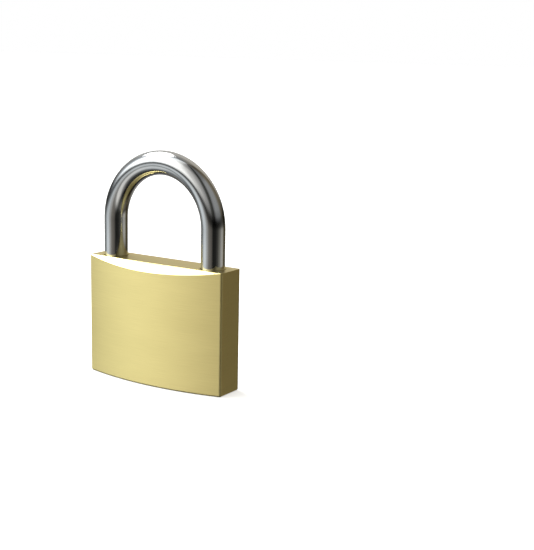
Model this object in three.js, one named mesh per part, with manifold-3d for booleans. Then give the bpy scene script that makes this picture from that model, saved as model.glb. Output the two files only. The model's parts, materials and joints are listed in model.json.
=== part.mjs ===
// A solid brass padlock with a hardened steel shackle and a five-pin tumbler cylinder, in millimetres, +Z up.
// The origin is at the middle of the base face. X runs across the width, and -Y is the front.
// The shackle's heel, its long leg, is at +X and its toe is at -X. The keyway opens in the base.
// The lock is modelled shut and locked, with the pins standing at the shear line, where the right key holds them.
import * as THREE from "three";
import { mergeVertices } from "three/addons/utils/BufferGeometryUtils.js";
import Module from "manifold-3d";

const wasm = await Module();
wasm.setup();

// ---------------------------------------------------------------- driving dimensions
const BODY_WIDTH = 50;
const BODY_HEIGHT = 37.5;
const EDGE_THICKNESS = 9.6; // front to back at the narrow sides
const FACE_BULGE = 3.35; // how far each broad face bows out at its middle
const SHOULDER_SLOPE = 0.65; // drop over run of the two shoulders beside the flat top

const SHACKLE_RADIUS = 3.65;
const LEG_X = 18.4; // from the middle to each leg's axis
const LEG_RISE = 11.5; // straight leg above the body, below the bow
const SHACKLE_LIFT = 11.3;
const TOE_DEPTH = 11.05; // how far the toe reaches below the top face
const HEEL_END_Z = 7.4;
const NECK_RADIUS = 2.5; // the heel's turned neck, which the retaining pin runs in

const PLUG_RADIUS = 5.5;
const PLUG_FACE_Z = 0.3; // the plug's face sits just inside the base
const PLUG_TOP_Z = 25.2;
const PIN_COUNT = 5;
const FIRST_PIN_Z = 4.6;
const PIN_SPACING = 3.6;
const PIN_RADIUS = 1.4;
const KEY_CUTS = [1.7, 0.9, 2.1, 1.3, 2.4]; // from the plug's axis to the key's cut at each pin
const DRIVER_LENGTH = 6;

const LATCH_Z = 32.2;
const LATCH_RADIUS = 3;
const NOSE_RADIUS = 2;
const LATCH_ENGAGEMENT = 1.2; // how far each nose reaches into its notch
const PEG_CIRCLE = 3; // the driver's pegs stand this far from the plug's axis
const PEG_RADIUS = 0.8;

const RETAINER_Z = 22.9; // one cross hole holds the plug's pin and the shackle's pin

// ---------------------------------------------------------------- clearances and derived places
const RUNNING_GAP = 0.1;
const LEG_GAP = 0.2;
const PRESSED_GAP = 0.05;
const PAST = 1; // how far a cutter runs past the face that it opens

const HALF_WIDTH = BODY_WIDTH / 2;
const HALF_EDGE = EDGE_THICKNESS / 2;
const HALF_THICKNESS = HALF_EDGE + FACE_BULGE;
const FACE_ARC_RADIUS = (HALF_WIDTH ** 2 + FACE_BULGE ** 2) / (2 * FACE_BULGE);
const BOW_Z = BODY_HEIGHT + LEG_RISE; // where the legs end and the bow begins
const LEG_INNER_X = LEG_X - SHACKLE_RADIUS;
const LEG_BORE = SHACKLE_RADIUS + LEG_GAP;
const PLUG_BORE = PLUG_RADIUS + RUNNING_GAP;
const PIN_BORE = PIN_RADIUS + RUNNING_GAP;
const LATCH_BORE = LATCH_RADIUS + RUNNING_GAP;
const LATCH_TRAVEL = PEG_CIRCLE * Math.SQRT2; // a quarter turn of a peg, from 45 degrees before the middle to 45 after
const NOSE_TIP_X = LEG_INNER_X + LATCH_ENGAGEMENT;
const PIN_LEVELS = Array.from({ length: PIN_COUNT }, (_, i) => FIRST_PIN_Z + i * PIN_SPACING);
const QUARTER = Math.PI / 2;

const BRASS = new THREE.MeshStandardMaterial({ color: 0xd8c884, roughness: 0.38, metalness: 1 });
const PIN_BRASS = new THREE.MeshStandardMaterial({ color: 0xc9ae62, roughness: 0.3, metalness: 1 });
const POLISHED_STEEL = new THREE.MeshStandardMaterial({ color: 0xd4d6d6, roughness: 0.12, metalness: 1 });
const PLAIN_STEEL = new THREE.MeshStandardMaterial({ color: 0x9da0a2, roughness: 0.35, metalness: 1 });
const SPRING_STEEL = new THREE.MeshStandardMaterial({ color: 0x8b8e90, roughness: 0.3, metalness: 1 });

// ---------------------------------------------------------------- solids from three.js geometry
const WELD = 1e-4;

function solid(geometry) {
  const bare = new THREE.BufferGeometry().setAttribute("position", geometry.getAttribute("position"));
  if (geometry.index) bare.setIndex(geometry.index);
  const merged = mergeVertices(bare, WELD);
  return new wasm.Manifold(
    new wasm.Mesh({
      numProp: 3,
      vertProperties: merged.attributes.position.array,
      triVerts: new Uint32Array(merged.index.array),
    }),
  );
}

function cut(from, ...cutters) {
  return cutters.reduce((left, cutter) => left.subtract(solid(cutter)), from);
}

function piece(name, shape, material) {
  const mesh = shape.getMesh();
  const geometry = new THREE.BufferGeometry()
    .setAttribute("position", new THREE.BufferAttribute(mesh.vertProperties, 3))
    .setIndex(new THREE.BufferAttribute(mesh.triVerts, 1));
  geometry.computeVertexNormals();
  const made = new THREE.Mesh(geometry, material);
  made.name = name;
  return made;
}

function rodX(radius, x0, x1, y, z, sides = 20) {
  return new THREE.CylinderGeometry(radius, radius, x1 - x0, sides)
    .rotateZ(QUARTER)
    .translate((x0 + x1) / 2, y, z);
}

function rodZ(radius, z0, z1, x, y, sides = 32) {
  return new THREE.CylinderGeometry(radius, radius, z1 - z0, sides)
    .rotateX(QUARTER)
    .translate(x, y, (z0 + z1) / 2);
}

// A turned piece about a line along X. The profile lists [x, radius] from low x to high x.
function turnedX(profile, y, z, sides = 16) {
  const points = profile.map(([x, radius]) => new THREE.Vector2(radius, x));
  return new THREE.LatheGeometry(points, sides).rotateZ(-QUARTER).translate(0, y, z);
}

// A ring about a vertical line. The profile lists [radius, z] once round, counterclockwise.
function ringZ(profile, x, y, sides = 32) {
  const points = [...profile, profile[0]].map(([radius, z]) => new THREE.Vector2(radius, z));
  return new THREE.LatheGeometry(points, sides).rotateX(QUARTER).translate(x, y, 0);
}

function block(x0, x1, y0, y1, z0, z1) {
  return new THREE.BoxGeometry(x1 - x0, y1 - y0, z1 - z0).translate(
    (x0 + x1) / 2,
    (y0 + y1) / 2,
    (z0 + z1) / 2,
  );
}

function extruded(outline, z0, z1, curveSegments = 12) {
  return new THREE.ExtrudeGeometry(outline, { depth: z1 - z0, bevelEnabled: false, curveSegments }).translate(0, 0, z0);
}

class Helix extends THREE.Curve {
  constructor(radius, length, turns) {
    super();
    Object.assign(this, { radius, length, turns });
  }
  getPoint(t) {
    const turn = t * this.turns * 2 * Math.PI;
    return new THREE.Vector3(
      this.radius * Math.cos(turn),
      this.radius * Math.sin(turn),
      t * this.length,
    );
  }
}

// A coil spring standing on z = 0, between two planes that are length apart.
function coil(radius, wire, length, turns, stepsPerTurn = 8) {
  const section = new THREE.Shape().absarc(0, 0, wire, 0, 2 * Math.PI);
  const path = new Helix(radius, length - 2 * wire, turns);
  return new THREE.ExtrudeGeometry(section, {
    extrudePath: path,
    steps: turns * stepsPerTurn,
    curveSegments: 3,
    bevelEnabled: false,
  }).translate(0, 0, wire);
}

// ---------------------------------------------------------------- the case
function caseOutline() {
  const reach = Math.asin(HALF_WIDTH / FACE_ARC_RADIUS);
  const centreY = FACE_ARC_RADIUS - HALF_THICKNESS;
  return new THREE.Shape()
    .absarc(0, centreY, FACE_ARC_RADIUS, -QUARTER - reach, -QUARTER + reach)
    .absarc(0, -centreY, FACE_ARC_RADIUS, QUARTER - reach, QUARTER + reach)
    .closePath();
}

// The wedge that slopes one shoulder, from the flat top's edge outwards. side is -1 in front and 1 behind.
function shoulderCutter(side) {
  const run = FACE_BULGE + PAST;
  const wedge = new THREE.Shape([
    new THREE.Vector2(0, 0),
    new THREE.Vector2(run, -run * SHOULDER_SLOPE),
    new THREE.Vector2(run, PAST),
    new THREE.Vector2(0, PAST),
  ]);
  const cutter = extruded(wedge, -HALF_WIDTH - PAST, HALF_WIDTH + PAST);
  cutter.rotateX(QUARTER).rotateZ(side * QUARTER);
  return cutter.translate(0, side * HALF_EDGE, BODY_HEIGHT);
}

const TOE_BORE_FLOOR = BODY_HEIGHT - TOE_DEPTH - 0.4;
const HEEL_BORE_FLOOR = 2;
const PLUG_BORE_TOP = LATCH_Z + 0.2; // the driver's pegs stand in the top of the bore
const DRAIN_RADIUS = 0.8;
const TOP_PAST = BODY_HEIGHT + PAST;
const SIDE_PAST = -HALF_WIDTH - PAST;

function lockCase() {
  const chambers = PIN_LEVELS.map((z) => rodX(PIN_BORE, SIDE_PAST, -PLUG_RADIUS + PAST, 0, z, 16));
  return cut(
    solid(extruded(caseOutline(), 0, BODY_HEIGHT, 20)),
    shoulderCutter(-1),
    shoulderCutter(1),
    rodZ(LEG_BORE, TOE_BORE_FLOOR, TOP_PAST, -LEG_X, 0),
    rodZ(LEG_BORE, HEEL_BORE_FLOOR, TOP_PAST, LEG_X, 0),
    rodZ(DRAIN_RADIUS, -PAST, HEEL_BORE_FLOOR + PAST, LEG_X, 0, 16),
    rodZ(PLUG_BORE, -PAST, PLUG_BORE_TOP, 0, 0),
    rodX(LATCH_BORE, SIDE_PAST, LEG_X, 0, LATCH_Z, 24),
    rodX(PIN_BORE, SIDE_PAST, LEG_X, 0, RETAINER_Z, 16),
    ...chambers,
  );
}

// ---------------------------------------------------------------- the shackle
const NOTCH_DEPTH = LATCH_ENGAGEMENT + 0.2;
const NOTCH_BELOW = 3.7; // below the latch's axis: room for the nose to draw back while the shackle rises
const NOTCH_ABOVE = 2.05;
const NECK_LOW_Z = RETAINER_Z - PIN_RADIUS - RUNNING_GAP - SHACKLE_LIFT;
const NECK_HIGH_Z = 25;
const TIP_CHAMFER = 0.8;
const SHACKLE_STEPS = 52;

function shackleLine() {
  const heelFoot = new THREE.Vector3(LEG_X, 0, HEEL_END_Z);
  const heelTop = new THREE.Vector3(LEG_X, 0, BOW_Z);
  const toeTop = new THREE.Vector3(-LEG_X, 0, BOW_Z);
  const toeFoot = new THREE.Vector3(-LEG_X, 0, BODY_HEIGHT - TOE_DEPTH);
  class Bow extends THREE.Curve {
    getPoint(t) {
      const angle = t * Math.PI;
      return new THREE.Vector3(LEG_X * Math.cos(angle), 0, BOW_Z + LEG_X * Math.sin(angle));
    }
  }
  const line = new THREE.CurvePath();
  line.add(new THREE.LineCurve3(heelFoot, heelTop));
  line.add(new Bow());
  line.add(new THREE.LineCurve3(toeTop, toeFoot));
  return line;
}

// The sloping ring that bevels a leg's end, whose foot is at z.
function tipBevel(x, z) {
  const inner = SHACKLE_RADIUS - TIP_CHAMFER;
  const outer = SHACKLE_RADIUS + PAST;
  const profile = [[inner, z - PAST], [outer, z - PAST], [outer, z + TIP_CHAMFER + PAST], [inner, z]];
  return ringZ(profile, x, 0);
}

function shackle() {
  const section = new THREE.Shape().absarc(0, 0, SHACKLE_RADIUS, 0, 2 * Math.PI);
  const bar = new THREE.ExtrudeGeometry(section, {
    extrudePath: shackleLine(),
    steps: SHACKLE_STEPS,
    curveSegments: 12,
    bevelEnabled: false,
  });
  const outer = SHACKLE_RADIUS + PAST;
  const neck = ringZ(
    [[NECK_RADIUS, NECK_LOW_Z], [outer, NECK_LOW_Z], [outer, NECK_HIGH_Z], [NECK_RADIUS, NECK_HIGH_Z]],
    LEG_X,
    0,
  );
  const notches = [-1, 1].map((side) => {
    const ends = [side * (LEG_INNER_X - PAST), side * (LEG_INNER_X + NOTCH_DEPTH)].sort((a, b) => a - b);
    return block(...ends, -outer, outer, LATCH_Z - NOTCH_BELOW, LATCH_Z + NOTCH_ABOVE);
  });
  return cut(
    solid(bar),
    neck,
    ...notches,
    tipBevel(-LEG_X, BODY_HEIGHT - TOE_DEPTH),
    tipBevel(LEG_X, HEEL_END_Z),
  );
}

// ---------------------------------------------------------------- the cylinder
const KEYWAY_TOP_Z = 21;
const TANG_HALF = 1.8;
const TANG_TOP_Z = 27;
const GROOVE_FLOOR = 4.3;
const GROOVE_HALF = PIN_RADIUS + 0.15;
const PIN_BORE_END_X = -0.3; // the plug's pin bores stop just short of its axis

// The warded slot that the blade fills. Pins bear on its -X edge.
function keywayOutline() {
  return new THREE.Shape(
    [
      [-4.2, -0.7],
      [0.6, -0.7],
      [1.0, -0.1],
      [2.2, -0.1],
      [2.6, -1.0],
      [4.3, -1.0],
      [4.3, 0.9],
      [-0.4, 0.9],
      [-0.8, 0.2],
      [-1.9, 0.2],
      [-2.3, 0.8],
      [-4.2, 0.8],
    ].map(([x, y]) => new THREE.Vector2(x, y)),
  );
}

// The part-turn groove that the plug's pin runs in: its two ends stop the plug a quarter turn apart.
function stopGroove() {
  const spread = Math.asin(GROOVE_HALF / GROOVE_FLOOR);
  const first = QUARTER - spread;
  const last = Math.PI + spread;
  const sector = new THREE.Shape()
    .absarc(0, 0, PLUG_RADIUS + PAST, first, last)
    .absarc(0, 0, GROOVE_FLOOR, last, first, true)
    .closePath();
  return extruded(sector, RETAINER_Z - GROOVE_HALF, RETAINER_Z + GROOVE_HALF, 14);
}

function squareTang(half, z0, z1) {
  return block(-half, half, -half, half, z0, z1).rotateZ(Math.PI / 4);
}

function plug() {
  const bores = PIN_LEVELS.map((z) => rodX(PIN_BORE, -PLUG_RADIUS - PAST, PIN_BORE_END_X, 0, z, 16));
  const barrel = solid(rodZ(PLUG_RADIUS, PLUG_FACE_Z, PLUG_TOP_Z, 0, 0));
  return cut(barrel, extruded(keywayOutline(), -PAST, KEYWAY_TOP_Z), stopGroove(), ...bores).add(
    solid(squareTang(TANG_HALF, PLUG_TOP_Z - PAST, TANG_TOP_Z)),
  );
}

const DISC_RADIUS = 5.3;
const DISC_Z = [PLUG_TOP_Z + 0.2, 27.8];
const PEG_TOP_Z = LATCH_Z - 0.5;
const PEG_ANGLES = [-3 * (Math.PI / 4), Math.PI / 4]; // the toe's peg in front, the heel's behind

function latchDriver() {
  const disc = solid(rodZ(DISC_RADIUS, DISC_Z[0], DISC_Z[1], 0, 0));
  const socket = squareTang(TANG_HALF + RUNNING_GAP, DISC_Z[0] - PAST, TANG_TOP_Z + RUNNING_GAP);
  const pegs = PEG_ANGLES.map((angle) =>
    solid(
      rodZ(PEG_RADIUS, DISC_Z[1] - 0.3, PEG_TOP_Z, PEG_CIRCLE * Math.cos(angle), PEG_CIRCLE * Math.sin(angle), 16),
    ),
  );
  return pegs.reduce((whole, peg) => whole.add(peg), cut(disc, socket));
}

const KEY_PIN_DOME = 0.4;
const KEY_PIN_TAPER = 0.8;

function keyPin(level, keyCut) {
  const outer = -PLUG_RADIUS + PRESSED_GAP;
  return turnedX(
    [
      [outer, 0],
      [outer + 0.1, PIN_RADIUS - KEY_PIN_DOME],
      [outer + KEY_PIN_DOME, PIN_RADIUS],
      [-keyCut - KEY_PIN_TAPER, PIN_RADIUS],
      [-keyCut, 0.4],
      [-keyCut, 0],
    ],
    0,
    level,
  );
}

const DRIVER_FACE_X = -PLUG_BORE - 0.02;
const DRIVER_END_X = DRIVER_FACE_X - DRIVER_LENGTH;
const PIN_EDGE = 0.3;

function driverPin(level) {
  return turnedX(
    [
      [DRIVER_END_X, 0],
      [DRIVER_END_X, PIN_RADIUS - PIN_EDGE],
      [DRIVER_END_X + PIN_EDGE, PIN_RADIUS],
      [DRIVER_FACE_X - PIN_EDGE, PIN_RADIUS],
      [DRIVER_FACE_X, PIN_RADIUS - PIN_EDGE],
      [DRIVER_FACE_X, 0],
    ],
    0,
    level,
  );
}

const CAP_LENGTH = 2.8;
const CAP_INNER_X = -HALF_WIDTH + CAP_LENGTH;
const FLUSH_GAP = 0.03; // a pressed cap is ground down a hair below the side face

function pinSpring(level) {
  const from = CAP_INNER_X + RUNNING_GAP;
  const length = DRIVER_END_X - RUNNING_GAP - from;
  return coil(0.95, 0.2, length, 7).rotateY(QUARTER).translate(from, 0, level);
}

function chamberCap(level) {
  return rodX(PIN_BORE - PRESSED_GAP, -HALF_WIDTH + FLUSH_GAP, CAP_INNER_X, 0, level, 16);
}

// ---------------------------------------------------------------- the two latches
const NOSE_SHOULDER_X = 12.5;
const SPLIT_GAP = 0.15; // between each half-round tail and the middle plane
const ROUND_END_X = 2 * LATCH_TRAVEL + 0.3; // the tails pass each other without meeting the round parts
const TAIL_END_X = 0;
const SLOT_HALF = PEG_RADIUS + 0.15;
const SPRING_SEAT_DEPTH = 3.3;
const SPRING_SEAT_RADIUS = 1.2;
const SPRING_Y = 1.5;

// The heel's latch, with its tail behind the middle plane. The toe's latch is the same piece turned half round.
function latch() {
  const nose = Array.from({ length: 6 }, (_, i) => {
    const angle = (i / 5) * QUARTER;
    return [NOSE_TIP_X - NOSE_RADIUS * (1 - Math.sin(angle)), NOSE_RADIUS * Math.cos(angle)];
  });
  const body = turnedX(
    [[TAIL_END_X, 0], [TAIL_END_X, LATCH_RADIUS], [NOSE_SHOULDER_X, LATCH_RADIUS], [NOSE_SHOULDER_X, NOSE_RADIUS], ...nose],
    0,
    LATCH_Z,
    24,
  );
  const pegX = PEG_CIRCLE * Math.cos(PEG_ANGLES[1]);
  const wide = LATCH_RADIUS + PAST;
  return cut(
    solid(body),
    block(TAIL_END_X - PAST, ROUND_END_X, -wide, SPLIT_GAP, LATCH_Z - wide, LATCH_Z + wide),
    block(pegX - SLOT_HALF, pegX + SLOT_HALF, -wide, wide, LATCH_Z - wide, PEG_TOP_Z + 0.3),
    rodX(SPRING_SEAT_RADIUS, ROUND_END_X - PAST, ROUND_END_X + SPRING_SEAT_DEPTH, -SPRING_Y, LATCH_Z, 16),
  );
}

// The spring between the heel latch's round part and the toe latch's tail end, in front of the middle plane.
function latchSpring() {
  const from = TAIL_END_X + RUNNING_GAP;
  const to = ROUND_END_X + SPRING_SEAT_DEPTH - RUNNING_GAP;
  return coil(0.85, 0.19, to - from, 7).rotateY(QUARTER).translate(from, -SPRING_Y, LATCH_Z);
}

function turnedHalfRound(shape) {
  return shape.rotate([0, 0, 180]);
}

// ---------------------------------------------------------------- retainers, shackle spring and bore cap
const PIN_TIP = 0.4;

function plugRetainingPin() {
  const outer = CAP_INNER_X + RUNNING_GAP;
  const inner = -GROOVE_FLOOR - 0.2;
  return turnedX(
    [[outer, 0], [outer, PIN_RADIUS], [inner - PIN_TIP, PIN_RADIUS], [inner, PIN_RADIUS - PIN_TIP], [inner, 0]],
    0,
    RETAINER_Z,
  );
}

function shackleRetainingPin() {
  const inner = PLUG_BORE + 0.1;
  const outer = LEG_X - NECK_RADIUS - 0.35;
  return turnedX(
    [[inner, 0], [inner, PIN_RADIUS], [outer - PIN_TIP, PIN_RADIUS], [outer, PIN_RADIUS - PIN_TIP], [outer, 0]],
    0,
    RETAINER_Z,
  );
}

function shackleSpring() {
  const from = HEEL_BORE_FLOOR + RUNNING_GAP;
  const length = HEEL_END_Z - RUNNING_GAP - from;
  return coil(2.8, 0.36, length, 5, 12).translate(LEG_X, 0, from);
}

function latchBoreCap() {
  const inner = -LEG_X - LEG_BORE - 0.25;
  return rodX(LATCH_BORE - PRESSED_GAP, -HALF_WIDTH + FLUSH_GAP, inner, 0, LATCH_Z, 24);
}

// ---------------------------------------------------------------- assembly
const padlock = new THREE.Group();
padlock.add(
  piece("lock_case", lockCase(), BRASS),
  piece("shackle", shackle(), POLISHED_STEEL),
  piece("shackle_spring", solid(shackleSpring()), SPRING_STEEL),
  piece("shackle_retaining_pin", solid(shackleRetainingPin()), PLAIN_STEEL),
  piece("cylinder_plug", plug(), BRASS),
  piece("plug_retaining_pin", solid(plugRetainingPin()), PLAIN_STEEL),
  piece("latch_driver", latchDriver(), PLAIN_STEEL),
  piece("heel_latch", latch(), PLAIN_STEEL),
  piece("toe_latch", turnedHalfRound(latch()), PLAIN_STEEL),
  piece("front_latch_spring", solid(latchSpring()), SPRING_STEEL),
  piece("rear_latch_spring", turnedHalfRound(solid(latchSpring())), SPRING_STEEL),
  piece("latch_bore_cap", solid(latchBoreCap()), BRASS),
  piece("retainer_hole_cap", solid(chamberCap(RETAINER_Z)), BRASS),
);
PIN_LEVELS.forEach((level, i) => {
  const number = i + 1;
  padlock.add(
    piece(`key_pin_${number}`, solid(keyPin(level, KEY_CUTS[i])), PIN_BRASS),
    piece(`driver_pin_${number}`, solid(driverPin(level)), PLAIN_STEEL),
    piece(`pin_spring_${number}`, solid(pinSpring(level)), SPRING_STEEL),
    piece(`chamber_cap_${number}`, solid(chamberCap(level)), BRASS),
  );
});

export default padlock;
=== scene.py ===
"""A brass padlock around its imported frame: fine surfaces, finishes, a pale floor and soft studio light."""
import json
import math

import bmesh
import bpy
from mathutils import Matrix, Vector


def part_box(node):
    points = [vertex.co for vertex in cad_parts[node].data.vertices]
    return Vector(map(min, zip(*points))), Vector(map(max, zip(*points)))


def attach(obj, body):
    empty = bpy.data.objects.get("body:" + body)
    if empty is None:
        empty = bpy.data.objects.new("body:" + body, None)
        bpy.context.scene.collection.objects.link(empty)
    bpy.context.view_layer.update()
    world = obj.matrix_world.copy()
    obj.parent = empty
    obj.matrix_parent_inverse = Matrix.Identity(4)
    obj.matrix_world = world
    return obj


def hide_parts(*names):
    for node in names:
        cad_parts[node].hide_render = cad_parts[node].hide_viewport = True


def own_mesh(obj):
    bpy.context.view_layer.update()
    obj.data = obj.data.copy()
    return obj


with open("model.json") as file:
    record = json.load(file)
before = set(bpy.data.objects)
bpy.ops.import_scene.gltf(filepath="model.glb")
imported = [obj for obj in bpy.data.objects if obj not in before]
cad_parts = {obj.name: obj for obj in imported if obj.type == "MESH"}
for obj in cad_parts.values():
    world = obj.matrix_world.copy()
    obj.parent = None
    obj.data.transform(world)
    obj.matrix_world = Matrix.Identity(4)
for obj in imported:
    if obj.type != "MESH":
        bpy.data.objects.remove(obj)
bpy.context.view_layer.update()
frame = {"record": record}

# ------------------------------------------------------------------ sizes, in metres
MM = 0.001
CASE_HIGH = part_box("lock_case")[1]
CASE_TOP = CASE_HIGH.z
HALF_WIDTH = CASE_HIGH.x
HALF_THICKNESS = CASE_HIGH.y
FACE_BULGE = 3.35 * MM  # how far each broad face bows out at its middle
SHOULDER_SLOPE = 0.65  # drop over run of the shoulders beside the flat top
HALF_EDGE = HALF_THICKNESS - FACE_BULGE  # half the width of the narrow sides

ROD_LOW, ROD_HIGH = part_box("shackle")
ROD_RADIUS = ROD_HIGH.y
LEG_X = ROD_HIGH.x - ROD_RADIUS
BOW_Z = ROD_HIGH.z - ROD_HIGH.x
HEEL_END = ROD_LOW.z
TOE_DEPTH = 11.05 * MM  # how far the toe reaches into the case
TOE_END = CASE_TOP - TOE_DEPTH
LEG_CLEARANCE = 0.2 * MM
LEG_BORE = ROD_RADIUS + LEG_CLEARANCE

PLUG_LOW, PLUG_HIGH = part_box("cylinder_plug")
PLUG_RADIUS = PLUG_HIGH.y
PLUG_CLEARANCE = 0.1 * MM
PLUG_BORE = PLUG_RADIUS + PLUG_CLEARANCE
PEG_CIRCLE = 3.0 * MM  # radius of the circle that the latch driver's pegs turn on
LATCH_TRAVEL = PEG_CIRCLE * math.sqrt(2)


def level_of(node):
    """The height of a node's middle."""
    low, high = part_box(node)
    return (low.z + high.z) / 2


PIN_NUMBERS = range(1, 6)
PIN_LEVELS = [level_of(f"chamber_cap_{number}") for number in PIN_NUMBERS]
LATCH_LEVEL = level_of("latch_bore_cap")
RETAINER_LEVEL = level_of("retainer_hole_cap")
CAP_CLEARANCE = 0.05 * MM
CAP_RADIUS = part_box("chamber_cap_1")[1].y
CAP_BORE = CAP_RADIUS + CAP_CLEARANCE
LATCH_CAP_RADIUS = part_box("latch_bore_cap")[1].y
LATCH_CAP_BORE = LATCH_CAP_RADIUS + CAP_CLEARANCE
PAST = 1.0 * MM  # how far a cutter runs past the face that it opens
ROUND = 96  # sides of a large round
PIN_SIDES = 64
BORE_SIDES = 48  # sides of a small bore or peg
EASED_ANGLE = math.radians(40)  # edges that turn by more than this are eased
SHADED_ANGLE = math.radians(24)  # edges that turn by more than this are shaded as sharp

BODY_OF = {node: body for body, nodes in frame["record"]["behaviour"]["bodies"].items() for node in nodes}


# ------------------------------------------------------------------ mesh building
def new_object(name, bm):
    mesh = bpy.data.meshes.new(name)
    bmesh.ops.recalc_face_normals(bm, faces=bm.faces)
    bm.to_mesh(mesh)
    bm.free()
    obj = bpy.data.objects.new(name, mesh)
    bpy.context.scene.collection.objects.link(obj)
    return obj


def skin(bm, rings):
    """Joins rings of points into a tube, with a flat cap at each end."""
    loops = [[bm.verts.new(p) for p in ring] for ring in rings]
    for a, b in zip(loops, loops[1:]):
        for i in range(len(a)):
            j = (i + 1) % len(a)
            bm.faces.new((a[i], a[j], b[j], b[i]))
    bm.faces.new(loops[0])
    bm.faces.new(loops[-1])


def circle(centre, u, v, radius, sides):
    turns = [2 * math.pi * i / sides for i in range(sides)]
    return [centre + u * (radius * math.cos(t)) + v * (radius * math.sin(t)) for t in turns]


X, Y, Z = Vector((1, 0, 0)), Vector((0, 1, 0)), Vector((0, 0, 1))
ORIGIN = Vector((0, 0, 0))


def across(axis):
    """The two directions square to an axis, which is X or Z."""
    return (Y, Z) if axis == X else (X, Y)


def turned(name, profile, axis, through=ORIGIN, sides=ROUND):
    """A turned piece. The profile lists (place along the axis, radius) from one end to the other."""
    u, v = across(axis)
    bm = bmesh.new()
    skin(bm, [circle(through + axis * at, u, v, radius, sides) for at, radius in profile])
    return new_object(name, bm)


def rimmed(low, high, radius, rim):
    """The profile of a round bar whose ends are chamfered by rim."""
    return [(low, radius - rim), (low + rim, radius), (high - rim, radius), (high, radius - rim)]


def box(name, low, high):
    bm = bmesh.new()
    bmesh.ops.create_cube(bm, size=1)
    middle = (Vector(low) + Vector(high)) / 2
    size = Vector(high) - Vector(low)
    for vert in bm.verts:
        vert.co = middle + Vector(a * b for a, b in zip(vert.co, size))
    return new_object(name, bm)


def apply_modifiers(obj):
    bpy.context.view_layer.update()
    done = obj.evaluated_get(bpy.context.evaluated_depsgraph_get())
    obj.data = bpy.data.meshes.new_from_object(done)
    obj.modifiers.clear()
    return obj


def cut(obj, cutters, operation="DIFFERENCE"):
    for cutter in cutters:
        modifier = obj.modifiers.new("cut", "BOOLEAN")
        modifier.object = cutter
        modifier.solver = "EXACT"
        modifier.operation = operation
    apply_modifiers(obj)
    for cutter in cutters:
        bpy.data.objects.remove(cutter)
    return obj


def ease_edges(obj, width):
    """Rounds off the edges that a machined piece would have deburred."""
    modifier = obj.modifiers.new("ease", "BEVEL")
    modifier.width = width
    modifier.segments = 2
    modifier.limit_method = "ANGLE"
    modifier.angle_limit = EASED_ANGLE
    return apply_modifiers(obj)


def smooth(obj):
    """Shades the rounded surfaces as smooth, and keeps the edges sharp."""
    mesh = obj.data
    mesh.polygons.foreach_set("use_smooth", [True] * len(mesh.polygons))
    mesh.set_sharp_from_angle(angle=SHADED_ANGLE)


def stand_for(obj, node, material):
    """The finished piece takes the node's place: it moves with the node's body and has its finish."""
    obj.data.materials.clear()
    obj.data.materials.append(material)
    smooth(obj)
    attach(obj, BODY_OF[node])
    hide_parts(node)
    return obj


# ------------------------------------------------------------------ materials
def node_material(name, metallic=0.0):
    material = bpy.data.materials.new(name)
    material.use_nodes = True
    nodes, links = material.node_tree.nodes, material.node_tree.links
    shader = nodes["Principled BSDF"]
    shader.inputs["Metallic"].default_value = metallic
    return material, nodes, links, shader


def stretched_noise(nodes, links, stretch, scale, detail=6.0, seed=0.0):
    """Noise drawn out along one axis: stretch is how much finer it is along X, Y and Z."""
    place = nodes.new("ShaderNodeTexCoord")
    mapping = nodes.new("ShaderNodeMapping")
    mapping.inputs["Scale"].default_value = stretch
    mapping.inputs["Location"].default_value = (seed, seed, seed)
    noise = nodes.new("ShaderNodeTexNoise")
    noise.inputs["Scale"].default_value = scale
    noise.inputs["Detail"].default_value = detail
    links.new(place.outputs["Object"], mapping.inputs["Vector"])
    links.new(mapping.outputs["Vector"], noise.inputs["Vector"])
    return noise.outputs["Fac"]


def mapped(nodes, links, value, low, high, from_low=0.0, from_high=1.0):
    span = nodes.new("ShaderNodeMapRange")
    span.inputs["From Min"].default_value = from_low
    span.inputs["From Max"].default_value = from_high
    span.inputs["To Min"].default_value = low
    span.inputs["To Max"].default_value = high
    links.new(value, span.inputs["Value"])
    return span.outputs["Result"]


def two_tone(nodes, links, value, dark, light):
    """Goes from the dark tone to the light one over the middle of the value's range."""
    ramp = nodes.new("ShaderNodeValToRGB")
    ramp.color_ramp.elements[0].position = 0.35
    ramp.color_ramp.elements[1].position = 0.65
    ramp.color_ramp.elements[0].color = (*dark, 1)
    ramp.color_ramp.elements[1].color = (*light, 1)
    links.new(value, ramp.inputs["Fac"])
    return ramp.outputs["Color"]


def marked(nodes, links, shader, marks, tones, roughness):
    """The marks vary the colour between two tones, and the roughness between two values."""
    links.new(two_tone(nodes, links, marks, *tones), shader.inputs["Base Color"])
    links.new(mapped(nodes, links, marks, *roughness), shader.inputs["Roughness"])


def bump(nodes, links, shader, height, strength, distance):
    node = nodes.new("ShaderNodeBump")
    node.inputs["Strength"].default_value = strength
    node.inputs["Distance"].default_value = distance
    links.new(height, node.inputs["Height"])
    links.new(node.outputs["Normal"], shader.inputs["Normal"])


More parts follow.
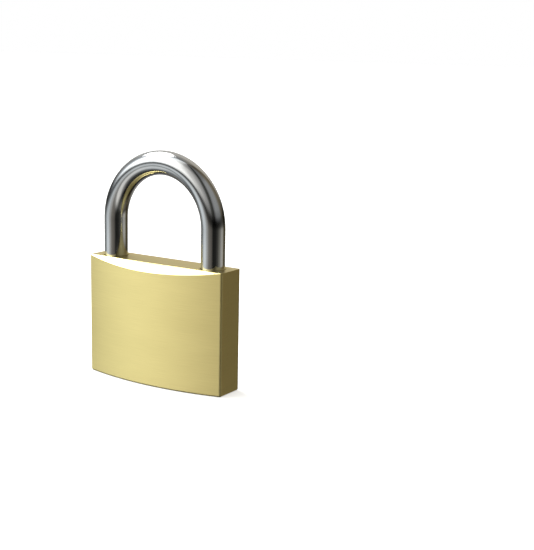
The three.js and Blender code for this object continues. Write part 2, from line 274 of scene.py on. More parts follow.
def brushed_brass(name, dark, light):
    """Satin brass with fine marks that run level round the case, and a few short scratches."""
    material, nodes, links, shader = node_material(name, 1.0)
    shader.inputs["Anisotropic"].default_value = 0.7
    shader.inputs["Anisotropic Rotation"].default_value = 0.25
    tangent = nodes.new("ShaderNodeTangent")
    tangent.direction_type = "RADIAL"
    tangent.axis = "Z"
    links.new(tangent.outputs["Tangent"], shader.inputs["Tangent"])
    fine = stretched_noise(nodes, links, (1.0, 1.0, 60.0), 120.0)
    broad = stretched_noise(nodes, links, (1.0, 1.0, 3.0), 45.0, detail=3.0, seed=7.0)
    tone = nodes.new("ShaderNodeMix")
    tone.inputs["Factor"].default_value = 0.35
    links.new(fine, tone.inputs["A"])
    links.new(broad, tone.inputs["B"])
    marked(nodes, links, shader, tone.outputs["Result"], (dark, light), (0.44, 0.54))
    scratches = stretched_noise(nodes, links, (1.0, 1.0, 18.0), 210.0, detail=1.0, seed=3.0)
    scored = nodes.new("ShaderNodeMath")
    scored.operation = "SUBTRACT"
    links.new(fine, scored.inputs[0])
    links.new(mapped(nodes, links, scratches, 0.0, 2.0, 0.74, 0.82), scored.inputs[1])
    bump(nodes, links, shader, scored.outputs["Value"], 0.12, 0.05 * MM)
    return material


def milled_brass():
    """The smoother brass of the top and the base, with marks that run along the case."""
    material, nodes, links, shader = node_material("milled_brass", 1.0)
    fine = stretched_noise(nodes, links, (1.0, 40.0, 40.0), 90.0)
    marked(nodes, links, shader, fine, ((0.86, 0.72, 0.31), (0.92, 0.78, 0.35)), (0.28, 0.32))
    bump(nodes, links, shader, fine, 0.02, 0.03 * MM)
    return material


def faced_brass():
    """The plug's brass, with the rings that a lathe leaves about its axis."""
    material, nodes, links, shader = node_material("faced_brass", 1.0)
    place = nodes.new("ShaderNodeTexCoord")
    flat = nodes.new("ShaderNodeVectorMath")
    flat.operation = "MULTIPLY"
    flat.inputs[1].default_value = (1, 1, 0)
    links.new(place.outputs["Object"], flat.inputs[0])
    away = nodes.new("ShaderNodeVectorMath")
    away.operation = "LENGTH"
    links.new(flat.outputs["Vector"], away.inputs[0])
    rings = nodes.new("ShaderNodeTexNoise")
    rings.noise_dimensions = "1D"
    rings.inputs["Scale"].default_value = 5000.0
    links.new(away.outputs["Value"], rings.inputs["W"])
    marks = rings.outputs["Fac"]
    marked(nodes, links, shader, marks, ((0.68, 0.53, 0.22), (0.78, 0.63, 0.29)), (0.24, 0.36))
    bump(nodes, links, shader, marks, 0.15, 0.03 * MM)
    return material


def turned_metal(name, dark, light, roughness):
    """A small turned piece that lies along X: fine rings run round it."""
    material, nodes, links, shader = node_material(name, 1.0)
    marks = stretched_noise(nodes, links, (14.0, 1.0, 1.0), 320.0)
    marked(nodes, links, shader, marks, (dark, light), roughness)
    bump(nodes, links, shader, marks, 0.12, 0.03 * MM)
    return material


def polished_steel():
    """The shackle's steel, with a faint haze drawn out along its legs."""
    material, nodes, links, shader = node_material("polished_steel", 1.0)
    haze = stretched_noise(nodes, links, (1.0, 1.0, 0.15), 260.0)
    marked(nodes, links, shader, haze, ((0.56, 0.57, 0.575), (0.63, 0.64, 0.645)), (0.07, 0.17))
    bump(nodes, links, shader, haze, 0.05, 0.02 * MM)
    return material


def spring_wire():
    material, nodes, links, shader = node_material("spring_wire", 1.0)
    marks = stretched_noise(nodes, links, (1.0, 1.0, 1.0), 1500.0)
    marked(nodes, links, shader, marks, ((0.34, 0.35, 0.37), (0.48, 0.49, 0.52)), (0.2, 0.36))
    return material


BRASS = brushed_brass("brushed_brass", (0.92, 0.785, 0.345), (0.98, 0.845, 0.385))
CAP_BRASS = brushed_brass("ground_cap_brass", (0.72, 0.60, 0.26), (0.80, 0.68, 0.31))
MILLED_BRASS = milled_brass()
PLUG_BRASS = faced_brass()
PIN_BRASS = turned_metal("pin_brass_turned", (0.66, 0.50, 0.19), (0.78, 0.61, 0.26), (0.18, 0.32))
POLISHED = polished_steel()
PLAIN_STEEL = turned_metal("turned_steel", (0.42, 0.43, 0.45), (0.58, 0.59, 0.61), (0.24, 0.42))
WIRE = spring_wire()


# ------------------------------------------------------------------ outlines
def arc(radius, first, last, steps, centre=ORIGIN):
    angles = [first + (last - first) * i / steps for i in range(steps + 1)]
    return [centre + Vector((radius * math.cos(a), radius * math.sin(a), 0)) for a in angles]


def fillet(before, corner, after, radius, steps=8):
    """Points round a corner of a counterclockwise outline."""
    into = (corner - before).normalized()
    out = (after - corner).normalized()
    turn = into.angle(out)
    start = corner - into * (radius * math.tan(turn / 2))
    centre = start + Z.cross(into) * radius
    spoke = start - centre
    return [centre + Matrix.Rotation(turn * i / steps, 3, "Z") @ spoke for i in range(steps + 1)]


def grown(outline, by):
    """A counterclockwise outline, moved outwards by that much all round."""
    moved = []
    for i, here in enumerate(outline):
        before = (here - outline[i - 1]).normalized()
        after = (outline[(i + 1) % len(outline)] - here).normalized()
        outwards = Vector((before.y + after.y, -before.x - after.x, 0)) / (1 + before.dot(after))
        moved.append(here + outwards * by)
    return moved


def prism(name, outline, levels):
    """An upright prism. The levels list (height, how far the outline is grown there)."""
    bm = bmesh.new()
    skin(bm, [[p + Z * height for p in grown(outline, by)] for height, by in levels])
    return new_object(name, bm)


# ------------------------------------------------------------------ the case
FACE_STEPS = 72
CORNER_ROUND = 0.8 * MM
BASE_ROUND = 0.7 * MM  # less than CORNER_ROUND, or the base's outline would turn inside out
TOP_EDGE_ROUND = 0.15 * MM
TOP_EDGE_ANGLE = math.radians(15)  # the case's edges that turn by more than this are rounded
MOUTH_RIM = 0.12 * MM  # the softened rim of an open hole
CAPPED_RIM = 0.03 * MM  # the rim of a hole that a cap fills
TOE_BORE_END = TOE_END - 0.4 * MM
HEEL_BORE_END = 2.0 * MM
PLUG_BORE_END = LATCH_LEVEL + 0.2 * MM
DRAIN_RADIUS = 0.8 * MM
DRAIN_DEPTH = 3.0 * MM
MILLED_TILT = 0.3  # faces whose normal's upward or downward share is more than this are milled


def case_outline():
    """The plan of the case: two shallow arcs between flat sides, with rounded corners."""
    radius = (HALF_WIDTH**2 + FACE_BULGE**2) / (2 * FACE_BULGE)
    reach = math.asin(HALF_WIDTH / radius)
    down = -math.pi / 2
    front = arc(radius, down - reach, down + reach, FACE_STEPS, Y * (radius - HALF_THICKNESS))
    rear = [-point for point in front]
    outline = []
    for this, other in ((front, rear), (rear, front)):
        outline += fillet(other[-1], this[0], this[1], CORNER_ROUND)
        outline += this[1:-1]
        outline += fillet(this[-2], this[-1], other[0], CORNER_ROUND)
    return outline


def base_levels(steps=8):
    """The rounded rim of the base, as a prism's levels."""
    turns = [math.pi / 2 * i / steps for i in range(steps + 1)]
    return [(BASE_ROUND * (1 - math.cos(t)), -BASE_ROUND * (1 - math.sin(t))) for t in turns]


def shoulder(bm, side):
    """Slopes the front (side -1) or rear (side 1) shoulder away from the flat top."""
    normal = Vector((0, side * SHOULDER_SLOPE, 1)).normalized()
    everything = bm.verts[:] + bm.edges[:] + bm.faces[:]
    ridge = Vector((0, side * HALF_EDGE, CASE_TOP))
    sliced = bmesh.ops.bisect_plane(bm, geom=everything, plane_co=ridge, plane_no=normal, clear_outer=True)
    rim = [e for e in sliced["geom_cut"] if isinstance(e, bmesh.types.BMEdge)]
    bmesh.ops.contextual_create(bm, geom=rim)


def is_sharp(edge):
    return len(edge.link_faces) == 2 and edge.calc_face_angle() > TOP_EDGE_ANGLE


def soften(bm, width, edges):
    """Rounds off the edges given."""
    bmesh.ops.bevel(bm, geom=edges, offset=width, segments=3, profile=0.5, affect="EDGES", clamp_overlap=True)
    bmesh.ops.recalc_face_normals(bm, faces=bm.faces)


def keep_flats_flat(obj):
    """Large faces keep their own normals, so that the small rounded edges don't shade them."""
    modifier = obj.modifiers.new("flats", "WEIGHTED_NORMAL")
    modifier.keep_sharp = True
    return apply_modifiers(obj)


def countersunk(name, radius, axis, mouth, inwards, depth, through, rim=MOUTH_RIM):
    """The cutter for a round hole from a face at mouth, with a softened rim."""
    profile = [
        (mouth - inwards * PAST, radius + rim + PAST),
        (mouth + inwards * rim, radius),
        (mouth + inwards * depth, radius),
    ]
    return turned(name, profile if inwards > 0 else profile[::-1], axis, through)


def side_hole(name, radius, level, depth):
    """The cutter for a hole from the left side, which a cap fills."""
    return countersunk(name, radius, X, -HALF_WIDTH, 1, depth, Z * level, CAPPED_RIM)


def make_case():
    block = prism("case_block", case_outline(), [*base_levels(), (CASE_TOP, 0.0)])
    bm = bmesh.new()
    bm.from_mesh(block.data)
    shoulder(bm, -1)
    shoulder(bm, 1)
    bmesh.ops.recalc_face_normals(bm, faces=bm.faces)
    soften(bm, TOP_EDGE_ROUND, [e for e in bm.edges if is_sharp(e)])
    bm.to_mesh(block.data)
    bm.free()
    top = CASE_TOP
    past_heel = HALF_WIDTH + LEG_X
    into_plug = HALF_WIDTH - PLUG_RADIUS + PAST
    holes = [
        countersunk("toe_hole", LEG_BORE, Z, top, -1, top - TOE_BORE_END, X * -LEG_X),
        countersunk("heel_hole", LEG_BORE, Z, top, -1, top - HEEL_BORE_END, X * LEG_X),
        countersunk("plug_hole", PLUG_BORE, Z, 0.0, 1, PLUG_BORE_END, ORIGIN),
        countersunk("drain_hole", DRAIN_RADIUS, Z, 0.0, 1, DRAIN_DEPTH, X * LEG_X),
        side_hole("latch_hole", LATCH_CAP_BORE, LATCH_LEVEL, past_heel),
        side_hole("retainer_hole", CAP_BORE, RETAINER_LEVEL, past_heel),
    ]
    holes += [side_hole("chamber", CAP_BORE, level, into_plug) for level in PIN_LEVELS]
    cut(block, holes)
    stand_for(block, "lock_case", BRASS)
    block.data.materials.append(MILLED_BRASS)
    for face in block.data.polygons:
        if abs(face.normal.z) > MILLED_TILT:
            face.material_index = 1
    return keep_flats_flat(block)


# ------------------------------------------------------------------ the shackle
LATCH_NOTCH_DEPTH = 1.4 * MM
NOTCH_LOW = LATCH_LEVEL - 3.7 * MM
NOTCH_HIGH = LATCH_LEVEL + 2.05 * MM
NECK_RADIUS = 2.5 * MM
NECK_LOW = RETAINER_LEVEL - 12.8 * MM
NECK_HIGH = 25.0 * MM
TIP_CHAMFER = 0.8 * MM
FILLET = 0.15 * MM
SHACKLE_EASE = 0.12 * MM
BOW_STEPS = 96


def shackle_path():
    """Points up the heel, round the bow and down the toe, with the bar's radius at each."""
    heel = [
        (HEEL_END, ROD_RADIUS - TIP_CHAMFER),
        (HEEL_END + TIP_CHAMFER, ROD_RADIUS),
        (NECK_LOW - FILLET, ROD_RADIUS),
        (NECK_LOW, ROD_RADIUS - FILLET),
        (NECK_LOW, NECK_RADIUS),
        (NECK_HIGH, NECK_RADIUS),
        (NECK_HIGH, ROD_RADIUS - FILLET),
        (NECK_HIGH + FILLET, ROD_RADIUS),
        (BOW_Z, ROD_RADIUS),
    ]
    points = [Vector((LEG_X, 0, z)) for z, _ in heel]
    radii = [radius for _, radius in heel]
    for i in range(1, BOW_STEPS + 1):
        angle = math.pi * i / BOW_STEPS
        points.append(Vector((LEG_X * math.cos(angle), 0, BOW_Z + LEG_X * math.sin(angle))))
        radii.append(ROD_RADIUS)
    for z, radius in ((TOE_END + TIP_CHAMFER, ROD_RADIUS), (TOE_END, ROD_RADIUS - TIP_CHAMFER)):
        points.append(Vector((-LEG_X, 0, z)))
        radii.append(radius)
    return points, radii


def bar_along(name, points, radii, sides=ROUND):
    """Sweeps the bar. Where two points share a place, the ring keeps its neighbour's direction."""
    bm = bmesh.new()
    rings = []
    direction = Z
    for i, point in enumerate(points):
        step = points[min(i + 1, len(points) - 1)] - points[max(i - 1, 0)]
        if step.length > 1e-7:
            direction = step.normalized()
        rings.append(circle(point, direction.cross(Y).normalized(), Y, radii[i], sides))
    skin(bm, rings)
    return new_object(name, bm)


def make_shackle():
    rod = bar_along("shackle_rod", *shackle_path())
    inner = LEG_X - ROD_RADIUS
    notches = []
    for side in (-1, 1):
        ends = sorted((side * (inner - PAST), side * (inner + LATCH_NOTCH_DEPTH)))
        wide = ROD_RADIUS + PAST
        notches.append(box("notch", (ends[0], -wide, NOTCH_LOW), (ends[1], wide, NOTCH_HIGH)))
    cut(rod, notches)
    ease_edges(rod, SHACKLE_EASE)
    return stand_for(rod, "shackle", POLISHED)


# ------------------------------------------------------------------ the caps pressed into the left side
CAP_CHAMFER = 0.06 * MM


def make_cap(node, radius):
    low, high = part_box(node)
    profile = rimmed(low.x, high.x, radius, CAP_CHAMFER)
    return stand_for(turned(f"{node}_disc", profile, X, Z * level_of(node), PIN_SIDES), node, CAP_BRASS)


# ------------------------------------------------------------------ the plug and the latch driver
KEYWAY_DEPTH = 21 * MM
KEYWAY_FLARE = 0.17 * MM
KEYWAY = [  # once round its outline, in millimetres
    (-4.2, -0.7),
    (0.6, -0.7),
    (1.0, -0.1),
    (2.2, -0.1),
    (2.6, -1.0),
    (4.3, -1.0),
    (4.3, 0.9),
    (-0.4, 0.9),
    (-0.8, 0.2),
    (-1.9, 0.2),
    (-2.3, 0.8),
    (-4.2, 0.8),
]
PLUG_BARREL_TOP = 25.2 * MM
PLUG_CHAMFER = 0.3 * MM
TANG_HALF = 1.8 * MM
GROOVE_FLOOR = 4.3 * MM
GROOVE_HALF = 1.55 * MM
GROOVE_STEPS = 32
PIN_BORE_END = -0.3 * MM


def keyway_cutter():
    outline = [Vector((x, y, 0)) * MM for x, y in KEYWAY]
    mouth = PLUG_LOW.z
    flare = KEYWAY_FLARE
    levels = [(-PAST, flare), (mouth, flare), (mouth + flare, 0.0), (KEYWAY_DEPTH, 0.0)]
    return prism("keyway", outline, levels)


def stop_groove_cutter():
    """The part-turn groove that the plug's retaining pin runs in."""
    spread = math.asin(GROOVE_HALF / GROOVE_FLOOR)
    first, last = math.pi / 2 - spread, math.pi + spread
    outer = arc(PLUG_RADIUS + PAST, first, last, GROOVE_STEPS)
    outline = outer + arc(GROOVE_FLOOR, last, first, GROOVE_STEPS)
    levels = [(RETAINER_LEVEL - GROOVE_HALF, 0.0), (RETAINER_LEVEL + GROOVE_HALF, 0.0)]
    return prism("groove", outline, levels)


def square(half):
    """A square set corner to corner on the X and Y axes."""
    reach = half * math.sqrt(2)
    return [X * reach, Y * reach, X * -reach, Y * -reach]


def make_plug():
    barrel = turned("plug_barrel", rimmed(PLUG_LOW.z, PLUG_BARREL_TOP, PLUG_RADIUS, PLUG_CHAMFER), Z)
    top = PLUG_HIGH.z
    tang_levels = [(PLUG_BARREL_TOP - PAST, 0.0), (top - PLUG_CHAMFER, 0.0), (top, -PLUG_CHAMFER)]
    cut(barrel, [prism("tang", square(TANG_HALF), tang_levels)], "UNION")
    ends = [(-PLUG_RADIUS - PAST, CAP_BORE), (PIN_BORE_END, CAP_BORE)]
    bores = [turned("pin_bore", ends, X, Z * level, BORE_SIDES) for level in PIN_LEVELS]
    cut(barrel, [keyway_cutter(), stop_groove_cutter(), *bores])
    return stand_for(barrel, "cylinder_plug", PLUG_BRASS)


DISC_LOW, DRIVER_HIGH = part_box("latch_driver")
DISC_RADIUS = DRIVER_HIGH.x
DISC_TOP = 27.8 * MM
DISC_CHAMFER = 0.25 * MM
PEG_RADIUS = 0.8 * MM
PEG_ROOT = 0.3 * MM  # how far each peg starts below the top of the disc
PEG_CHAMFER = 0.15 * MM
TANG_CLEARANCE = 0.1 * MM
PEG_PLACE = PEG_CIRCLE / math.sqrt(2)


def make_latch_driver():
    disc = turned("driver_disc", rimmed(DISC_LOW.z, DISC_TOP, DISC_RADIUS, DISC_CHAMFER), Z)
    top = DRIVER_HIGH.z
    profile = [
        (DISC_TOP - PEG_ROOT, PEG_RADIUS),
        (top - PEG_CHAMFER, PEG_RADIUS),
        (top, PEG_RADIUS - PEG_CHAMFER),
    ]
    places = [(X + Y) * (side * PEG_PLACE) for side in (-1, 1)]
    cut(disc, [turned("peg", profile, Z, place, BORE_SIDES) for place in places], "UNION")
    levels = [(DISC_LOW.z - PAST, 0.0), (PLUG_HIGH.z + TANG_CLEARANCE, 0.0)]
    cut(disc, [prism("socket", square(TANG_HALF + TANG_CLEARANCE), levels)])
    return stand_for(disc, "latch_driver", PLAIN_STEEL)


# ------------------------------------------------------------------ the latches
LATCH_RADIUS = 3.0 * MM
LATCH_CHAMFER = 0.15 * MM
NOSE_RADIUS = 2.0 * MM
NOSE_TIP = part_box("heel_latch")[1].x
NOSE_SHOULDER = 12.5 * MM
TAIL_GAP = 0.3 * MM  # between each latch's tail and the other latch, when both are pulled in
ROUND_END = 2 * LATCH_TRAVEL + TAIL_GAP
SPLIT_GAP = 0.15 * MM
PEG_CLEARANCE = 0.15 * MM
SLOT_HALF = PEG_RADIUS + PEG_CLEARANCE
SLOT_HEADROOM = 0.3 * MM  # above the pegs
SPRING_SEAT_DEPTH = 3.3 * MM
SPRING_SEAT_RADIUS = 1.2 * MM
SPRING_Y = 1.5 * MM  # how far each latch spring lies from the latches' axis
LATCH_EASE = 0.1 * MM


def make_latch(node, side):
    """The heel's latch is on side 1. The toe's latch, on side -1, is the same piece turned half round."""
    profile = [*rimmed(0.0, NOSE_SHOULDER, LATCH_RADIUS, LATCH_CHAMFER), (NOSE_SHOULDER, NOSE_RADIUS)]
    for degrees in range(0, 81, 8):
        angle = math.radians(degrees)
        at = NOSE_TIP - NOSE_RADIUS + NOSE_RADIUS * math.sin(angle)
        profile.append((at, NOSE_RADIUS * math.cos(angle)))
    centre = Z * LATCH_LEVEL
    latch = turned(f"{node}_body", profile, X, centre)
    wide = LATCH_RADIUS + PAST
    low, high = LATCH_LEVEL - wide, LATCH_LEVEL + wide
    slot_top = DRIVER_HIGH.z + SLOT_HEADROOM
    tail_half = box("tail_half", (-PAST, -wide, low), (ROUND_END, SPLIT_GAP, high))
    peg_slot = box("peg_slot", (PEG_PLACE - SLOT_HALF, -wide, low), (PEG_PLACE + SLOT_HALF, wide, slot_top))
    seat_ends = [(ROUND_END - PAST, SPRING_SEAT_RADIUS), (ROUND_END + SPRING_SEAT_DEPTH, SPRING_SEAT_RADIUS)]
    seat = turned("spring_seat", seat_ends, X, centre - Y * SPRING_Y, BORE_SIDES)
    cut(latch, [tail_half, peg_slot, seat])
    ease_edges(latch, LATCH_EASE)
    if side < 0:
        latch.data.transform(Matrix.Rotation(math.pi, 4, "Z"))
    return stand_for(latch, node, PLAIN_STEEL)


# ------------------------------------------------------------------ pins
PIN_ROUND = 0.3 * MM
KEY_PIN_TIP = 0.8 * MM
TIP_RADIUS = 0.55 * MM
TIP_BLUNT = 0.12 * MM
RETAINER_ROUND = 0.2 * MM


def make_pin(node, rim, tip=0.0, material=PLAIN_STEEL):
    """A pin along X that fills its node's box. Its edges are rounded by rim, and its +X end tapers by tip."""
    low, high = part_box(node)
    radius = (high.z - low.z) / 2
    level = level_of(node)
    turns = [math.radians(degrees) for degrees in range(0, 91, 15)]
    profile = [(low.x + rim * (1 - math.sin(t)), radius - rim * (1 - math.cos(t))) for t in reversed(turns)]
    if tip:
        profile += [
            (high.x - tip, radius),
            (high.x - TIP_BLUNT, TIP_RADIUS),
            (high.x, TIP_RADIUS - TIP_BLUNT),
        ]
    else:
        profile += [(high.x - rim * (1 - math.sin(t)), radius - rim * (1 - math.cos(t))) for t in turns]
    return stand_for(turned(f"{node}_turned", profile, X, Z * level, PIN_SIDES), node, material)


# ------------------------------------------------------------------ springs
PIN_SPRING = {"wire": 0.4 * MM, "turns": 9}
SHACKLE_SPRING = {"wire": 0.72 * MM, "turns": 6}
LATCH_SPRING = {"wire": 0.38 * MM, "turns": 8}
WIRE_SIDES = 10


def helix(start, axis, radius, rise, wire, turns, steps=24):
    """Points along the wire of a compression spring, with one closed turn at each end."""
    u, v = across(axis)
    open_rise = rise - 2 * wire
    points = []
    for i in range(turns * steps + 1):
        turn = i / steps
        opened = min(max(turn - 1, 0.0), turns - 2)
        closed = min(turn, 1.0) + max(turn - (turns - 1), 0.0)
        angle = 2 * math.pi * turn
        along = closed * wire + opened / (turns - 2) * open_rise
        points.append(start + axis * along + (u * math.cos(angle) + v * math.sin(angle)) * radius)
    return points


def make_spring(node, axis, wire, turns):
    """A coil of round wire, as wide, as long and in the same place as its node."""
    low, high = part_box(node)
    middle = (low + high) / 2
    length = (high - low).dot(axis)
    outer = (high.y - low.y) / 2
    half = wire / 2
    start = middle - axis * (length / 2 - half)
    points = helix(start, axis, outer - half, length - wire, wire, turns)
    bm = bmesh.new()
    rings = []
    for i, point in enumerate(points):
        ahead = (points[min(i + 1, len(points) - 1)] - points[max(i - 1, 0)]).normalized()
        outwards = point - middle
        outwards = (outwards - axis * outwards.dot(axis)).normalized()
        rings.append(circle(point, outwards, ahead.cross(outwards).normalized(), half, WIRE_SIDES))
    skin(bm, rings)
    return stand_for(new_object(f"{node}_coil", bm), node, WIRE)


def make_latch_spring(node):
    """Both latches close on this spring. It is given a mesh of its own."""
    spring = make_spring(node, X, **LATCH_SPRING)
    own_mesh(spring)


make_case()
make_shackle()
make_plug()
make_latch_driver()
make_latch("heel_latch", 1)
make_latch("toe_latch", -1)
for number in PIN_NUMBERS:
    make_cap(f"chamber_cap_{number}", CAP_RADIUS)
    make_pin(f"key_pin_{number}", PIN_ROUND, KEY_PIN_TIP, PIN_BRASS)
    make_pin(f"driver_pin_{number}", PIN_ROUND)
    make_spring(f"pin_spring_{number}", X, **PIN_SPRING)
make_cap("retainer_hole_cap", CAP_RADIUS)
make_cap("latch_bore_cap", LATCH_CAP_RADIUS)
make_pin("plug_retaining_pin", RETAINER_ROUND)
make_pin("shackle_retaining_pin", RETAINER_ROUND)
make_spring("shackle_spring", Z, **SHACKLE_SPRING)
make_latch_spring("front_latch_spring")
make_latch_spring("rear_latch_spring")


# ------------------------------------------------------------------ floor, light and camera
FLOOR_REACH = 6.0
FLOOR_DROP = 0.02 * MM  # keeps the floor from sharing a plane with the case's base


def make_floor():
    bm = bmesh.new()
    bmesh.ops.create_grid(bm, x_segments=1, y_segments=1, size=FLOOR_REACH)
    floor = new_object("floor", bm)
    floor.location.z = -FLOOR_DROP
    material, _, _, shader = node_material("pale_floor")
    shader.inputs["Base Color"].default_value = (0.9, 0.9, 0.9, 1)
    shader.inputs["Roughness"].default_value = 0.9
    shader.inputs["Specular IOR Level"].default_value = 0.0
    shader.inputs["Emission Color"].default_value = (1, 1, 1, 1)
    shader.inputs["Emission Strength"].default_value = 0.6
    floor.data.materials.append(material)
    floor.visible_glossy = False


def around(azimuth, elevation, distance):
    """A place at that distance from the object. Azimuth 0 is straight in front of it, and 90 to its right."""
    a, e = math.radians(azimuth), math.radians(elevation)
    return Vector((math.sin(a) * math.cos(e), -math.cos(a) * math.cos(e), math.sin(e))) * distance


def softbox(name, place, target, size, power):
    """A round soft light that faces its target."""
    light = bpy.data.lights.new(name, "AREA")
    light.shape = "ELLIPSE"
    light.size, light.size_y = size
    light.energy = power
    lamp = bpy.data.objects.new(name, light)
    lamp.location = place
    lamp.rotation_euler = (Vector(target) - Vector(place)).to_track_quat("-Z", "Y").to_euler()
    lamp.visible_camera = False
    bpy.context.scene.collection.objects.link(lamp)


# What surrounds the object, as (azimuth in degrees, colour): 0 is straight in front of it, 90 to its right.
TABLE_SURROUNDINGS = [
    (-180, (0.45, 0.44, 0.42)),
    (-100, (0.16, 0.16, 0.16)),
    (-74, (0.28, 0.29, 0.30)),
    (-50, (0.88, 0.92, 0.93)),
    (-10, (1.00, 0.98, 0.94)),
    (20, (0.98, 0.95, 0.89)),
    (34, (0.46, 0.45, 0.42)),
    (45, (0.12, 0.12, 0.11)),
    (60, (0.10, 0.10, 0.09)),
    (76, (0.26, 0.25, 0.22)),
    (110, (0.20, 0.18, 0.15)),
    (148, (0.09, 0.07, 0.035)),
    (180, (0.25, 0.23, 0.20)),
]
LOWER_SURROUNDINGS = [
    (-180, (0.46, 0.46, 0.44)),
    (-140, (0.46, 0.46, 0.44)),
    (-100, (0.34, 0.35, 0.35)),
    (-76, (0.36, 0.38, 0.38)),
    (-63, (0.92, 0.98, 1.01)),
    (-44, (0.93, 0.98, 1.00)),
    (-24, (0.56, 0.56, 0.54)),
    (-4, (0.26, 0.24, 0.21)),
    (14, (0.18, 0.165, 0.145)),
    (36, (0.018, 0.018, 0.016)),
    (58, (0.024, 0.024, 0.022)),
    (76, (0.07, 0.068, 0.06)),
    (98, (0.24, 0.23, 0.20)),
    (120, (0.54, 0.52, 0.48)),
    (138, (0.50, 0.47, 0.40)),
    (148, (0.09, 0.07, 0.035)),
    (180, (0.09, 0.07, 0.035)),
]
UPPER_SURROUNDINGS = [
    (-180, (0.62, 0.57, 0.49)),
    (-142, (0.62, 0.60, 0.56)),
    (-118, (0.52, 0.52, 0.50)),
    (-98, (0.28, 0.29, 0.29)),
    (-82, (0.62, 0.65, 0.67)),
    (-64, (2.40, 2.50, 2.54)),
    (-40, (2.70, 2.74, 2.72)),
    (-22, (1.78, 1.76, 1.70)),
    (-2, (0.86, 0.84, 0.81)),
    (16, (0.52, 0.51, 0.49)),
    (28, (0.36, 0.355, 0.345)),
    (38, (0.10, 0.10, 0.09)),
    (54, (0.05, 0.05, 0.045)),
    (66, (0.26, 0.26, 0.26)),
    (78, (0.38, 0.385, 0.385)),
    (110, (0.38, 0.385, 0.38)),
    (136, (0.24, 0.21, 0.16)),
    (158, (0.16, 0.13, 0.085)),
    (180, (0.62, 0.57, 0.49)),
]
# Brightness by height: -1 is straight down, 0 is level and 1 is straight up.
TABLE_HEIGHTS = [
    (-1.0, 0.03),
    (-0.86, 0.06),
    (-0.76, 0.25),
    (-0.62, 0.9),
    (-0.5, 1.0),
    (-0.45, 0.8),
    (-0.4, 0.4),
]
LOWER_HEIGHTS = [
    (-0.4, 0.4),
    (-0.35, 0.55),
    (-0.29, 0.9),
    (-0.24, 1.0),
    (-0.14, 0.8),
    (-0.05, 0.2),
    (0.0, 0.12),
]
UPPER_HEIGHTS = [
    (0.0, 0.12),
    (0.08, 0.22),
    (0.2, 0.7),
    (0.34, 1.0),
    (0.8, 1.0),
    (0.92, 0.6),
    (1.0, 0.45),
]

# The heights over which one layer gives way to the next.
TABLE_TO_LOWER = (-0.42, -0.30)
LOWER_TO_UPPER = (0.02, 0.10)


def ramp_of(nodes, links, share, stops):
    """A smooth colour ramp through (place from 0 to 1, colour) stops."""
    ramp = nodes.new("ShaderNodeValToRGB")
    ramp.color_ramp.interpolation = "EASE"
    elements = ramp.color_ramp.elements
    elements.remove(elements[-1])
    elements[0].position = stops[0][0]
    elements[0].color = (*stops[0][1], 1)
    for place, colour in stops[1:]:
        elements.new(place).color = (*colour, 1)
    links.new(share, ramp.inputs["Fac"])
    return ramp.outputs["Color"]


def product(nodes, links, a, b):
    mix = nodes.new("ShaderNodeMix")
    mix.data_type = "RGBA"
    mix.blend_type = "MULTIPLY"
    mix.inputs["Factor"].default_value = 1.0
    links.new(a, mix.inputs["A"])
    links.new(b, mix.inputs["B"])
    return mix.outputs["Result"]


def blended(nodes, links, factor, a, b):
    """Goes from a to b as the factor goes from 0 to 1."""
    mix = nodes.new("ShaderNodeMix")
    mix.data_type = "RGBA"
    links.new(factor, mix.inputs["Factor"])
    links.new(a, mix.inputs["A"])
    links.new(b, mix.inputs["B"])
    return mix.outputs["Result"]


def surroundings(nodes, links, by_turn, by_height, turn, height):
    """One layer of the studio: its colour round the object times its brightness up and down."""
    round_about = ramp_of(nodes, links, turn, [((a + 180) / 360, c) for a, c in by_turn])
    up_down = ramp_of(nodes, links, height, [((h + 1) / 2, (v, v, v)) for h, v in by_height])
    return product(nodes, links, round_about, up_down)


def azimuth_of(nodes, links, parts):
    """The azimuth of a direction whose X, Y and Z are given, as a share of a whole turn from -180 degrees."""
    ahead = nodes.new("ShaderNodeMath")
    ahead.operation = "MULTIPLY"
    ahead.inputs[1].default_value = -1.0
    links.new(parts["Y"], ahead.inputs[0])
    azimuth = nodes.new("ShaderNodeMath")
    azimuth.operation = "ARCTAN2"
    links.new(parts["X"], azimuth.inputs[0])
    links.new(ahead.outputs["Value"], azimuth.inputs[1])
    return mapped(nodes, links, azimuth.outputs["Value"], 0.0, 1.0, -math.pi, math.pi)


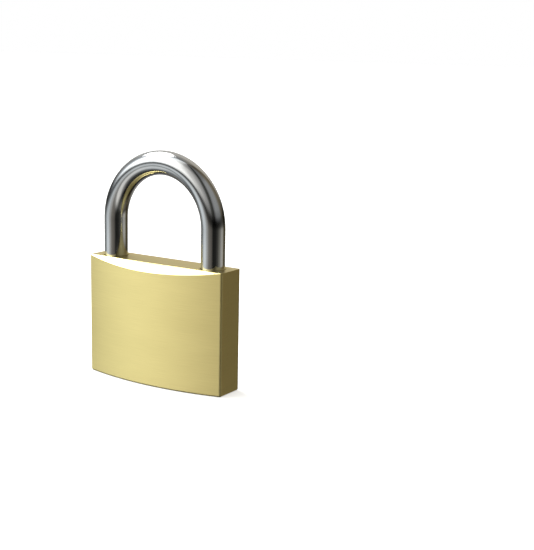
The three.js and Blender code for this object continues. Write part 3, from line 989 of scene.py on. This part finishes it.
def make_world():
    """The studio in three layers, one above another. The camera itself sees plain white behind the object."""
    world = bpy.data.worlds.new("studio")
    bpy.context.scene.world = world
    world.use_nodes = True
    nodes, links = world.node_tree.nodes, world.node_tree.links
    nodes.clear()
    place = nodes.new("ShaderNodeTexCoord")
    split = nodes.new("ShaderNodeSeparateXYZ")
    links.new(place.outputs["Generated"], split.inputs["Vector"])
    parts = split.outputs
    turn = azimuth_of(nodes, links, parts)
    height = mapped(nodes, links, parts["Z"], 0.0, 1.0, -1.0, 1.0)
    table = surroundings(nodes, links, TABLE_SURROUNDINGS, TABLE_HEIGHTS, turn, height)
    lower = surroundings(nodes, links, LOWER_SURROUNDINGS, LOWER_HEIGHTS, turn, height)
    upper = surroundings(nodes, links, UPPER_SURROUNDINGS, UPPER_HEIGHTS, turn, height)
    off_table = mapped(nodes, links, parts["Z"], 0.0, 1.0, *TABLE_TO_LOWER)
    above_level = mapped(nodes, links, parts["Z"], 0.0, 1.0, *LOWER_TO_UPPER)
    lower = blended(nodes, links, off_table, table, lower)
    studio = blended(nodes, links, above_level, lower, upper)
    light = nodes.new("ShaderNodeBackground")
    links.new(studio, light.inputs["Color"])
    backdrop = nodes.new("ShaderNodeBackground")
    backdrop.inputs["Color"].default_value = (1, 1, 1, 1)
    seen = nodes.new("ShaderNodeLightPath")
    either = nodes.new("ShaderNodeMixShader")
    links.new(seen.outputs["Is Camera Ray"], either.inputs["Fac"])
    links.new(light.outputs["Background"], either.inputs[1])
    links.new(backdrop.outputs["Background"], either.inputs[2])
    output = nodes.new("ShaderNodeOutputWorld")
    links.new(either.outputs["Shader"], output.inputs["Surface"])


KEY_AZIMUTH, KEY_ELEVATION = -101, 56
KEY_DISTANCE = 0.7
KEY_TARGET = (0, 0, 0.035)
KEY_SIZE = (0.38, 0.38)
KEY_POWER = 4.3

CAMERA_AZIMUTH, CAMERA_ELEVATION = 32.19, 11.54
ROLL = math.radians(1.22)
DISTANCE = 323.9 * MM
AIM = Vector((37.35, 0.0, 37.92)) * MM
LENS = 73.96
NEAR, FAR = 0.01, 50


def make_camera():
    back = around(CAMERA_AZIMUTH, CAMERA_ELEVATION, 1.0)
    level = Z.cross(back).normalized()
    upright = back.cross(level)
    right = level * math.cos(ROLL) + upright * math.sin(ROLL)
    up = upright * math.cos(ROLL) - level * math.sin(ROLL)
    data = bpy.data.cameras.new("camera")
    data.lens = LENS
    data.clip_start, data.clip_end = NEAR, FAR
    camera = bpy.data.objects.new("camera", data)
    turn = Matrix((right, up, back)).transposed()
    camera.matrix_world = Matrix.Translation(AIM + back * DISTANCE) @ turn.to_4x4()
    bpy.context.scene.collection.objects.link(camera)
    bpy.context.scene.camera = camera


make_floor()
make_world()
softbox("key", around(KEY_AZIMUTH, KEY_ELEVATION, KEY_DISTANCE), KEY_TARGET, KEY_SIZE, KEY_POWER)
make_camera()
bpy.context.scene.view_settings.view_transform = "Standard"
